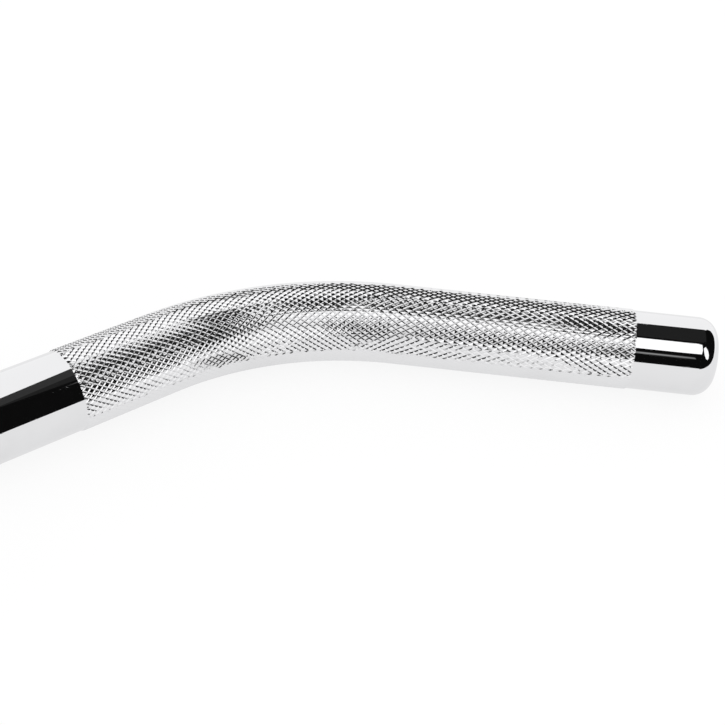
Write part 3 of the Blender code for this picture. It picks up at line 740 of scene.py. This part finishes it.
def drilled(rows, profile_station, turn, swivel, bar):
    """The barrel's rings with a round hole sunk for the grub screw, at turn 0.

    In a square round the hole, each square ring of grid points is drawn into a circle, by
    scaling its points to the length of their larger coordinate. The inner circles go down.
    """
    half = 2.2 * swivel.grub_radius
    arc = np.arctan2(np.sin(turn), np.cos(turn)) * swivel.housing_radius
    rise = (profile_station[:, None] - swivel.grub_station) / half
    p, q = np.broadcast_arrays(arc / half, rise)
    ring = np.maximum(np.abs(p), np.abs(q))
    out_from_axis = np.linalg.norm(rows - rows.mean(axis=1, keepdims=True), axis=2)
    outside = np.abs(out_from_axis - swivel.housing_radius) < 1e-6
    near = (ring < 0.999) & outside
    circle = ring / np.maximum(np.hypot(p, q), 1e-9)
    pull = np.clip((1 - ring) / 0.45, 0, 1)
    factor = 1 + pull * (circle - 1)
    hole = (swivel.grub_radius + swivel.grub_room) / half
    depth = np.interp(ring, [hole, hole + 0.04], [1.0, 0.0])
    sink = depth * (swivel.housing_radius - swivel.chamber_radius - 0.0002)
    across, along = p * factor * half, q * factor * half
    radius = swivel.housing_radius - sink
    sunk = on_axis(radius, across / swivel.housing_radius, swivel.grub_station + along, bar)
    return np.where(near[..., None], sunk, rows)


def barrel_rows(swivel, bar):
    """Rings of the housing: tail bore, chamber, mouth, outside, and the saddle on the bar.

    The last rings follow the bar's own surface, so the barrel is coped to the bend.
    """
    profile = rounded(
        [
            (0.0002, swivel.tail_seat, 0.0),
            (swivel.tail_bore, swivel.tail_seat, 0.0003),
            (swivel.tail_bore, swivel.chamber_floor, 0.0003),
            (swivel.chamber_radius, swivel.chamber_floor, 0.0004),
            (swivel.chamber_radius, swivel.mouth, 0.0003),
            (swivel.housing_radius, swivel.mouth, swivel.edge),
            (swivel.housing_radius, swivel.mouth - 0.0015, 0.0),
        ]
    )
    columns = 192
    turn = full_turn(columns)
    inner = turned_rows(profile, columns, bar)
    radius = swivel.housing_radius
    saddle = bar_surface_station(radius * np.cos(turn), radius * np.sin(turn), bar)
    grub_top = swivel.grub_station - 2.3 * swivel.grub_radius
    fine = np.linspace(profile[-1, 1], grub_top, 72)[1:]
    cope = np.linspace(0, 1, 16)[1:, None]
    lower = grub_top + cope * (saddle - grub_top)
    outside = drilled(on_axis(radius, turn, fine[:, None], bar), fine, turn, swivel, bar)
    coped = on_axis(radius, turn, lower, bar)
    share_in = np.linspace(1, 0.02, 10)[1:, None]
    across, height = radius * share_in * np.cos(turn), radius * share_in * np.sin(turn)
    seat = on_axis(radius * share_in, turn, bar_surface_station(across, height, bar), bar)
    first = on_axis(0.0, 0.0, swivel.tail_seat, bar)
    last = on_axis(0.0, 0.0, bar.radius, bar)
    return np.concatenate([inner, outside, coped, seat]), first, last


def weld_rows(swivel, bar):
    """Rings of the weld bead: a tube along the line where barrel and bar meet.

    The line is drawn in over the top and underside. The bead's radius swells and sinks in
    ripples, whose crests bend round the tube like laid-down coins, and drifts a little.
    """
    count, sides = 696, 28
    u = full_turn(count)
    room = (swivel.housing_radius - swivel.weld_radius - 0.0003) / swivel.housing_radius
    across = swivel.housing_radius * np.cos(u)
    height = swivel.housing_radius * room * np.sin(u)
    place_y, place_z = bar_place(bar)
    station = bar_surface_station(across, height, bar)
    line = points_at(across, place_y - station, place_z + height)
    along = np.roll(line, -1, axis=0) - np.roll(line, 1, axis=0)
    along /= np.linalg.norm(along, axis=1)[:, None]
    out = line - np.array([0.0, place_y, place_z])
    out[:, 1] = 0
    out -= (out * along).sum(axis=1)[:, None] * along
    out /= np.linalg.norm(out, axis=1)[:, None]
    side = np.cross(along, out)
    v = full_turn(sides)
    lean = 1.3 * np.cos(v - QUARTER / 2)
    phase = (u[:, None] * swivel.weld_ripples + lean) / (2 * np.pi)
    tooth = phase - np.floor(phase)
    ripple = np.sin(np.pi * tooth**0.6) ** 0.8
    drift = np.sin(3 * u + 0.7) + 0.6 * np.sin(7 * u + 2.1) + 0.4 * np.sin(13 * u)
    radius = swivel.weld_radius * (0.93 + 0.055 * ripple + 0.012 * drift[:, None])
    ring = np.cos(v)[:, None] * out[:, None] + np.sin(v)[:, None] * side[:, None]
    return line[:, None] + radius[..., None] * ring


def cap_rows(swivel, bar):
    """Rings of the cap, a closed loop of profile turned round the axis.

    Columns crowd at the sides of each spanner slot, where the outer radius steps in to the
    slot's flat floor. The spigot carries a fine thread.
    """
    profile = rounded(
        [
            (swivel.housing_radius, swivel.gland_face, swivel.flange_edge),
            (swivel.housing_radius, swivel.flange_start, 0.0003),
            (swivel.spigot_radius, swivel.flange_start, 0.0002),
            (swivel.spigot_radius, swivel.gland_start, 0.0005),
            (swivel.gland_bore, swivel.gland_start, 0.0003),
            (swivel.gland_bore, swivel.pocket_floor, 0.0002),
            (swivel.pocket_radius, swivel.pocket_floor, 0.0002),
            (swivel.pocket_radius, swivel.gland_face, 0.0004),
        ],
        closed=True,
    )
    spigot = np.flatnonzero(np.isclose(profile[:, 0], swivel.spigot_radius))
    low, high = spigot[0], spigot[-1]
    screwed = np.linspace(profile[low], profile[high], 130)[1:-1]
    profile = np.concatenate([profile[: low + 1], screwed, profile[high:]])
    half = math.asin(swivel.slot_width / 2 / swivel.housing_radius)
    clear = half + 0.006
    quarter = np.concatenate(
        [
            np.linspace(-QUARTER / 2, -clear, 20),
            np.linspace(-half, half, 9),
            np.linspace(clear, QUARTER / 2, 20)[:-1],
        ]
    )
    turn = (quarter[None, :] + QUARTER * (np.arange(4)[:, None] + 0.5)).ravel()
    in_slot = np.tile(np.abs(quarter) <= half + 1e-9, 4)
    floor = (swivel.housing_radius - swivel.slot_depth) / np.cos(np.tile(quarter, 4))
    radius, station = profile[:, :1], profile[:, 1:]
    flange = (station > swivel.flange_start - 1e-6) & (radius > swivel.spigot_radius + 0.0005)
    radius = np.where(flange & in_slot, np.minimum(radius, floor), radius)
    radius = threaded(radius, station, turn, slice(low + 4, low + len(screwed) - 4), CAP_THREAD)
    return on_axis(radius, turn, station, bar)


def stem_rows(swivel, bar):
    """Rings of the turned part of the eye: tail, threaded stem and collar."""
    profile = rounded(
        [
            (0.0001, swivel.tail_end, 0.0),
            (swivel.tail_radius, swivel.tail_end, 0.0004),
            (swivel.tail_radius, swivel.stem_end, 0.0002),
            (swivel.stem_radius, swivel.stem_end, 0.0004),
            (swivel.stem_radius, swivel.collar_start, 0.0002),
            (swivel.collar_radius, swivel.collar_start, 0.0006),
            (swivel.collar_radius, swivel.collar_end, 0.0009),
            (0.0001, swivel.collar_end, 0.0),
        ]
    )
    stem = np.flatnonzero(np.isclose(profile[:, 0], swivel.stem_radius))
    low, high = stem[0], stem[-1]
    screwed = np.linspace(profile[low, 1], swivel.stem_end + THREADED_LENGTH, 90)
    station = np.append(screwed, profile[high, 1])
    run = np.stack([np.full(len(station), swivel.stem_radius), station], axis=-1)
    profile = np.concatenate([profile[:low], run, profile[high + 1 :]])
    turn = full_turn(128)
    radius, station = profile[:, :1], profile[:, 1:]
    radius = threaded(radius, station, turn, slice(low + 3, low + 88), STEM_THREAD)
    rows = on_axis(radius, turn, station, bar)
    return rows, on_axis(0.0, 0.0, swivel.tail_end, bar), on_axis(0.0, 0.0, swivel.collar_end, bar)


def eye_side(swivel, inset):
    """Points round the eye's side, across and station, moved in by inset.

    The ring's arc runs into the neck through two hollow fillets, whose centres lie at the sum
    of the two radii from the ring's centre. Straight sides lead on into the collar.
    """
    half = swivel.neck_width / 2
    hollow = swivel.neck_fillet
    reach = math.sqrt((swivel.eye_radius + hollow) ** 2 - (half + hollow) ** 2)
    touch = math.atan2(-reach, half + hollow)
    ring_turn = np.linspace(touch, math.pi - touch, 181)
    ring = swivel.eye_radius - inset
    middle = swivel.eye_centre
    arc = np.stack([ring * np.cos(ring_turn), middle + ring * np.sin(ring_turn)], axis=-1)
    sweep = np.linspace(math.pi, math.pi + touch, 25)[:-1]
    size = hollow + inset
    across = half + hollow + size * np.cos(sweep)
    fillet = np.stack([across, middle - reach + size * np.sin(sweep)], axis=-1)
    foot = (swivel.collar_start + swivel.collar_end) / 2 + inset
    neck = np.stack([np.full(7, half - inset), np.linspace(foot, fillet[0, 1], 8)[:-1]], axis=-1)
    right = np.concatenate([neck, fillet])
    base = np.stack([np.linspace(inset - half, half - inset, 9)[1:-1], np.full(7, foot)], axis=-1)
    return np.concatenate([right, arc, right[::-1] * [-1, 1], base])


def eye_rows(swivel, bar):
    """Rings of the flat eye, each a loop through its thickness, one ring after another.

    A loop goes up the wall of the hole, round a quarter-round edge, over the flat cheek, round
    the outer edge and down the outer side, and back underneath. The hole's point of each loop
    lies in the direction of its outer point.
    """
    place_y, place_z = bar_place(bar)
    edge, low = swivel.eye_edge, swivel.eye_thickness / 2 - swivel.eye_edge
    outer, inset = eye_side(swivel, 0.0), eye_side(swivel, edge)
    centre = np.array([0.0, swivel.eye_centre])
    toward = (inset - centre) / np.linalg.norm(inset - centre, axis=1)[:, None]
    wall = centre + toward * swivel.hole_radius
    crest = centre + toward * (swivel.hole_radius + edge)
    bend = np.linspace(0, QUARTER, 9)
    upper = [(wall + (crest - wall) * (1 - math.cos(b)), low + edge * math.sin(b)) for b in bend]
    upper += [(crest + (inset - crest) * f, low + edge) for f in (0.02, 0.35, 0.65, 0.98)]
    upper += [(inset + (outer - inset) * math.sin(b), low + edge * math.cos(b)) for b in bend]
    loop = upper + [(flat, -height) for flat, height in upper[::-1]]
    flat = np.stack([flat for flat, _ in loop])
    height = np.array([height for _, height in loop])[:, None]
    return points_at(flat[..., 0], place_y - flat[..., 1], place_z + height)


def screw_rows(swivel, bar):
    """Rings of the grub screw, round a line across the axis, with a hexagon socket.

    The socket's radius is its apothem over the cosine of the angle from the nearest flat.
    """
    turn = full_turn(48)
    outer = swivel.housing_radius - swivel.grub_room
    inner = swivel.chamber_radius + 0.0001
    hexagon = math.cos(math.pi / 6) / np.cos((turn + math.pi / 6) % (math.pi / 3) - math.pi / 6)
    rim = swivel.grub_radius
    socket = swivel.socket_radius
    chamfer, floor = 0.0003, outer - swivel.socket_depth
    # Radius, place along the screw, and whether the ring is a hexagon
    plan = [
        (rim - chamfer, inner, 0), (rim, inner + chamfer, 0), (rim, outer - chamfer, 0),
        (rim - 0.00005, outer - 0.00012, 0), (rim - chamfer, outer, 0),
        (socket + 0.00035, outer, 0), (socket + 0.00012, outer - 0.00001, 1),
        (socket, outer - 0.0001, 1), (socket, floor, 1), (0.0002, floor - 0.0003, 0),
    ]
    radius = np.array([r * (hexagon if six else 1 + 0 * turn) for r, _, six in plan])
    reach = np.array([x for _, x, _ in plan])[:, None]
    place_y, place_z = bar_place(bar)
    y = place_y - swivel.grub_station
    rows = points_at(reach, y + radius * np.cos(turn), place_z + radius * np.sin(turn))
    return rows, (inner, y, place_z), (plan[-1][1], y, place_z)


def ball_rows(centre, radius):
    """Rings of a ball from pole to pole: radius times the sine and cosine of the latitude."""
    lat = np.linspace(-QUARTER, QUARTER, 26)[1:-1, None]
    turn, flat = full_turn(48), radius * np.cos(lat)
    return points_at(flat * np.cos(turn), flat * np.sin(turn), radius * np.sin(lat)) + centre


class VBAR_OT_smooth_bar(bpy.types.Operator):
    """Build the smooth stretches of the bar: the middle and the two ends"""

    bl_idname = "vbar.smooth_bar"
    bl_label = "Smooth Bar"

    def execute(self, context):
        bar, knurl = context.scene.vbar_bar, context.scene.vbar_knurl
        finish = chrome_plate(context.scene.vbar_finish)
        inner = half_length(bar) - bar.tip_length - knurl.length
        along = np.linspace(-inner, inner, 121)
        smooth_stretch("bar_middle", along, np.full(121, bar.radius), bar, finish)
        along, radius = end_profile(bar)
        smooth_stretch("bar_end_right", along, radius, bar, finish)
        smooth_stretch("bar_end_left", -along[::-1], radius[::-1], bar, finish)
        return {"FINISHED"}


class VBAR_OT_knurled_grips(bpy.types.Operator):
    """Build the diamond knurl of both grips"""

    bl_idname = "vbar.knurled_grips"
    bl_label = "Knurled Grips"

    def execute(self, context):
        bar, knurl = context.scene.vbar_bar, context.scene.vbar_knurl
        look = context.scene.vbar_finish
        finish = chrome_plate(look, "chrome_on_knurl", look.knurl_gloss)
        outer = half_length(bar) - bar.tip_length
        inner = outer - knurl.length
        for name, start, end in (("knurl_right", inner, outer), ("knurl_left", -outer, -inner)):
            grip = fill_mesh(name, *knurl_surface(start, end, bar, knurl), flat=(0, 1, 2))
            dress(grip, finish, FRAME_BODY, "chrome", "bar")
        return {"FINISHED"}


class VBAR_OT_housing(bpy.types.Operator):
    """Build the swivel's barrel, coped to the bar, with its weld bead and its grub screw"""

    bl_idname = "vbar.housing"
    bl_label = "Housing and Weld"

    def execute(self, context):
        bar, swivel = context.scene.vbar_bar, context.scene.vbar_swivel
        finish = chrome_plate(context.scene.vbar_finish)
        barrel = rows_mesh("housing_barrel", *barrel_rows(swivel, bar))
        dress(barrel, finish, FRAME_BODY, "chrome", "swivel_housing")
        bead = rows_mesh("weld_bead", weld_rows(swivel, bar), loop=True)
        dress(bead, finish, FRAME_BODY, "chrome", "swivel_housing")
        screw = rows_mesh("hex_grub_screw", *screw_rows(swivel, bar))
        dress(screw, worked_finish("black_oxide"), FRAME_BODY, "dark_steel", "grub_screw")
        return {"FINISHED"}


class VBAR_OT_gland_cap(bpy.types.Operator):
    """Build the screwed cap with its spanner slots"""

    bl_idname = "vbar.gland_cap"
    bl_label = "Cap"

    def execute(self, context):
        bar, swivel = context.scene.vbar_bar, context.scene.vbar_swivel
        cap = rows_mesh("slotted_cap", cap_rows(swivel, bar), loop=True)
        dress(cap, chrome_plate(context.scene.vbar_finish), FRAME_BODY, "chrome", "gland_cap")
        return {"FINISHED"}


class VBAR_OT_eye(bpy.types.Operator):
    """Build the flat eye and its turned stem"""

    bl_idname = "vbar.eye"
    bl_label = "Eye"

    def execute(self, context):
        bar, swivel = context.scene.vbar_bar, context.scene.vbar_swivel
        finish = chrome_plate(context.scene.vbar_finish)
        ring = rows_mesh("eye_ring", eye_rows(swivel, bar), loop=True)
        dress(ring, finish, EYE_BODY, "chrome", "swivel_eye")
        stem = rows_mesh("eye_stem_and_collar", *stem_rows(swivel, bar))
        dress(stem, finish, EYE_BODY, "chrome", "swivel_eye")
        return {"FINISHED"}


class VBAR_OT_bearing(bpy.types.Operator):
    """Build the bearing balls and give the inner CAD pieces their finishes"""

    bl_idname = "vbar.bearing"
    bl_label = "Bearing and Inner Pieces"

    def execute(self, context):
        swivel = context.scene.vbar_swivel
        steel = worked_finish("ground_steel")
        for number in range(1, 9):
            low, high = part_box(f"ball_{number}")
            centre = np.array((low + high) / 2)
            rows = ball_rows(centre, swivel.ball_radius)
            poles = [centre + np.array([0, 0, s * swivel.ball_radius]) for s in (-1, 1)]
            ball = rows_mesh(f"bearing_ball_{number}", rows, *poles)
            dress(ball, steel, BALL_BODY, "bearing_steel", f"ball_{number}")
        for name, finish in INNER_FINISHES.items():
            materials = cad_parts[name].data.materials
            for index in range(len(materials)):
                materials[index] = worked_finish(finish)
            if not materials:
                materials.append(worked_finish(finish))
        return {"FINISHED"}


def soft_patch(tree, angle, rise, sides, heights, soft=2.0):
    """1 inside a range of compass angles and elevations, in degrees, with soft edges."""
    patch = fade(tree, angle, sides[0] - soft, sides[0] + soft)
    for value, middle, low, high in (
        (angle, sides[1], 1.0, 0.0),
        (rise, heights[0], 0.0, 1.0),
        (rise, heights[1], 1.0, 0.0),
    ):
        step = fade(tree, value, middle - soft, middle + soft, low, high)
        patch = maths(tree, "MULTIPLY", patch, step)
    return patch


def studio_world():
    """White all round for the camera and for plain light; polished metal sees a room.

    Angles turn from the camera's side towards the right. The room is dark ahead and to the
    right, above the horizon, and is open overhead. The patches of ROOM then paint lights, pale
    walls and dark screens over it, one after another.
    """
    world = bpy.data.worlds.new("studio_world")
    bpy.context.scene.world = world
    world.use_nodes = True
    tree = world.node_tree
    tree.nodes.clear()
    way = node(tree, "ShaderNodeTexCoord").outputs["Generated"]
    parts = node(tree, "ShaderNodeSeparateXYZ", {0: way}).outputs
    x, y, z = parts[0], parts[1], parts[2]
    angle = maths(tree, "ARCTAN2", x, maths(tree, "MULTIPLY", y, -1.0))
    angle = maths(tree, "MULTIPLY", angle, 180 / math.pi)
    rise = maths(tree, "MULTIPLY", maths(tree, "ARCSINE", z), 180 / math.pi)
    back, side = OPENING_LEAN
    behind = fade(tree, maths(tree, "MULTIPLY_ADD", z, back, y), 0.0, 0.02)
    leftward = fade(tree, maths(tree, "MULTIPLY_ADD", z, -side, x), -0.03, 0.0, 1.0, 0.0)
    closed = maths(tree, "SUBTRACT", 1.0, maths(tree, "MULTIPLY", behind, leftward))
    room = soft_patch(tree, angle, rise, ROOM_SIDES, ROOM_HEIGHTS, ROOM_EDGE)
    level = maths(tree, "SUBTRACT", 1.0, maths(tree, "MULTIPLY", room, closed))
    for sides, heights, shade in ROOM:
        patch = soft_patch(tree, angle, rise, sides, heights)
        level = maths(tree, "MULTIPLY_ADD", maths(tree, "SUBTRACT", shade, level), patch, level)
    level = maths(tree, "MAXIMUM", level, BLACK)
    rays = node(tree, "ShaderNodeLightPath").outputs
    inputs = {"Factor": rays["Is Glossy Ray"], "A": 1.0, "B": level}
    mix = node(tree, "ShaderNodeMix", inputs, data_type="FLOAT")
    glow = node(tree, "ShaderNodeBackground", {"Color": mix.outputs["Result"], "Strength": 1.0})
    node(tree, "ShaderNodeOutputWorld", {"Surface": glow.outputs[0]})


def flat_sheet(name, rim):
    """A flat sheet inside a rim of points: a fan from the middle of the rim."""
    points = np.concatenate([rim, rim.mean(axis=0)[None]])
    return fill_mesh(name, points, [fan(len(rim), np.arange(len(rim)))], closed=False)


def bare_material(name):
    """A material without a shader, and its tree."""
    material = bpy.data.materials.new(name)
    material.use_nodes = True
    material.node_tree.nodes.clear()
    return material, material.node_tree


def card(name, corners, strength, bow=0.0):
    """A flat card that only polished metal sees, with rounded corners if bow is above 0.

    Near each corner the outline follows a quadratic curve that starts and ends at a distance
    of bow along the two sides.
    """
    corners = np.asarray(corners, float)
    before, after = np.roll(corners, 1, axis=0), np.roll(corners, -1, axis=0)
    step = np.linspace(0, 1, 9)[None, :, None]
    start, end = (
        corners + bow * (other - corners) / np.linalg.norm(other - corners, axis=1)[:, None]
        for other in (before, after)
    )
    curve = (1 - step) ** 2 * start[:, None] + step**2 * end[:, None]
    curve = curve + 2 * step * (1 - step) * corners[:, None]
    thing = flat_sheet(name, curve.reshape(-1, 3))
    material, tree = bare_material(name)
    glow = node(tree, "ShaderNodeEmission", {"Strength": strength})
    node(tree, "ShaderNodeOutputMaterial", {"Surface": glow.outputs[0]})
    thing.data.materials.append(material)
    thing.visible_camera = False
    thing.visible_diffuse = False
    thing.visible_shadow = False


def near_tip(azimuth, reach, outline):
    """Corners of an upright card that faces the right tip from a compass angle and a distance."""
    turn = math.radians(azimuth)
    away = np.array([math.sin(turn), -math.cos(turn), 0.0])
    aside = np.array([math.cos(turn), math.sin(turn), 0.0])
    outline = np.asarray(outline)
    foot = np.array(TIP_FOOT) + reach * away
    return foot + outline[:, :1] * aside + outline[:, 1:] * np.array([0.0, 0.0, 1.0])


def studio_floor(look):
    """A pale floor: part of its white is its own and the rest is shaded by what stands on it."""
    turn = full_turn(96)
    floor = flat_sheet("studio_floor", FLOOR_RADIUS * points_at(np.cos(turn), np.sin(turn), 0.0))
    material, tree = bare_material("pale_floor")
    shade = look.floor_shade
    matt = node(tree, "ShaderNodeBsdfDiffuse", {"Color": (shade, shade, shade, 1.0)})
    rays = node(tree, "ShaderNodeLightPath").outputs
    seen = maths(tree, "MAXIMUM", rays["Is Camera Ray"], rays["Is Glossy Ray"])
    seen = maths(tree, "MAXIMUM", seen, rays["Is Transmission Ray"])
    plain = maths(tree, "MULTIPLY_ADD", rays["Is Camera Ray"], CAMERA_GAIN, FLOOR_GLOW)
    glow = node(tree, "ShaderNodeEmission", {"Strength": plain})
    share_out = maths(tree, "MULTIPLY", seen, look.floor_glow)
    mix = node(tree, "ShaderNodeMixShader", {0: share_out, 1: matt.outputs[0], 2: glow.outputs[0]})
    node(tree, "ShaderNodeOutputMaterial", {"Surface": mix.outputs[0]})
    floor.data.materials.append(material)


class VBAR_OT_studio(bpy.types.Operator):
    """Build the camera, the floor, the world and the cards that the chrome reflects"""

    bl_idname = "vbar.studio"
    bl_label = "Studio"

    def execute(self, context):
        look = context.scene.vbar_studio
        studio_world()
        studio_floor(look)
        for name, (outline, strength, bow) in LEVEL_CARDS.items():
            card(name, [(x, y, CARD_HEIGHT) for x, y in outline], strength, bow)
        for name, (azimuth, reach, outline, strength) in UPRIGHT_CARDS.items():
            card(name, near_tip(azimuth, reach, outline), strength)
        camera = bpy.data.objects.new("camera", bpy.data.cameras.new("camera"))
        context.scene.collection.objects.link(camera)
        turned = np.eye(4)
        axes = [CAMERA_RIGHT, CAMERA_UP, np.cross(CAMERA_RIGHT, CAMERA_UP)]
        turned[:3, :3] = np.stack(axes, axis=1)
        turned[:3, 3] = look.camera_place
        camera.matrix_world = Matrix(turned.tolist())
        camera.data.sensor_width = 36.0
        camera.data.lens = look.lens
        camera.data.clip_start = 0.01
        context.scene.camera = camera
        context.scene.view_settings.view_transform = "Standard"
        return {"FINISHED"}


SETTINGS = {
    "vbar_bar": BarSizes,
    "vbar_knurl": KnurlSizes,
    "vbar_swivel": SwivelSizes,
    "vbar_finish": FinishLook,
    "vbar_studio": StudioLook,
}
STEPS = [
    VBAR_OT_smooth_bar,
    VBAR_OT_knurled_grips,
    VBAR_OT_housing,
    VBAR_OT_gland_cap,
    VBAR_OT_eye,
    VBAR_OT_bearing,
    VBAR_OT_studio,
]


class VBAR_PT_sidebar(bpy.types.Panel):
    """Lists the sizes, the finishes and the build steps"""

    bl_label = "Triceps V-Bar"
    bl_idname = "VBAR_PT_sidebar"
    bl_space_type = "VIEW_3D"
    bl_region_type = "UI"
    bl_category = "V-Bar"

    def draw(self, context):
        for key, kind in SETTINGS.items():
            box = self.layout.box()
            box.label(text=kind.__doc__)
            for name in kind.__annotations__:
                box.prop(getattr(context.scene, key), name)
        for step in STEPS:
            self.layout.operator(step.bl_idname)


CLASSES = [*SETTINGS.values(), *STEPS, VBAR_PT_sidebar]


def register():
    for kind in CLASSES:
        bpy.utils.register_class(kind)
    for key, kind in SETTINGS.items():
        setattr(bpy.types.Scene, key, PointerProperty(type=kind))


def unregister():
    for key in SETTINGS:
        delattr(bpy.types.Scene, key)
    for kind in reversed(CLASSES):
        bpy.utils.unregister_class(kind)


def main():
    register()
    for step in STEPS:
        group, name = step.bl_idname.split(".")
        getattr(getattr(bpy.ops, group), name)()


if __name__ == "__main__":
    main()
